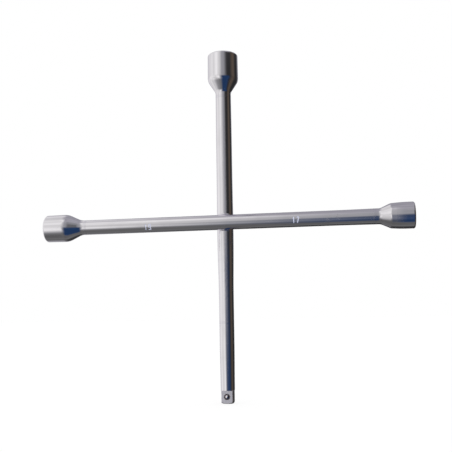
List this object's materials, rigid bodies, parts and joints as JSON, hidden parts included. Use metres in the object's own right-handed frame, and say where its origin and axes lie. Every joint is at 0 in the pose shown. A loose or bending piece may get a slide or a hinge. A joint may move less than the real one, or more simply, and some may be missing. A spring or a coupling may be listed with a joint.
{
  "type": "lug wrench",
  "caption": "Cross-shaped lug wrench: two crossed round chromed steel bars, three hexagon sockets on tapered necks and a square drive with a sprung detent ball.",
  "frame": {"origin": "centre of the cross: midway between the two horizontal mouths, midway between the top mouth and the drive's end, and midway front to back", "axes": "+X along the horizontal bar towards the smaller side socket, +Z along the vertical bar towards the large socket, -Y towards the front, the side on which the horizontal bar crosses over"},
  "size_m": [0.4, 0.044, 0.3826],
  "materials": {
    "bar_chrome": "polished chrome with fine lengthwise drawing lines",
    "socket_chrome": "polished chrome over turned steel, bare oxide-dark steel inside the hexagon",
    "weld_chrome": "plated weld metal, ground",
    "drive_chrome": "satin chrome on milled flats",
    "ball_steel": "polished ball-bearing steel",
    "spring_steel": "hard-drawn spring wire, dull"
  },
  "bodies": {
    "wrench": {"horizontal_bar": "bar_chrome", "vertical_bar": "bar_chrome", "left_socket": "socket_chrome", "right_socket": "socket_chrome", "top_socket": "socket_chrome", "left_neck_weld": "weld_chrome", "right_neck_weld": "weld_chrome", "top_neck_weld": "weld_chrome", "drive_weld": "weld_chrome", "upper_cross_weld": "weld_chrome", "lower_cross_weld": "weld_chrome", "square_drive": "drive_chrome", "detent_spring": "spring_steel"},
    "detent_ball": {"detent_ball": "ball_steel"}
  },
  "joints": [
    {"name": "detent_ball_press", "type": "slide", "parent": "wrench", "child": "detent_ball", "axis": [0, 1, 0], "range_m": [0, 0.0012], "stiffness_N_per_m": 1500, "springref_m": -0.003, "deforming": ["detent_spring"]}
  ]
}
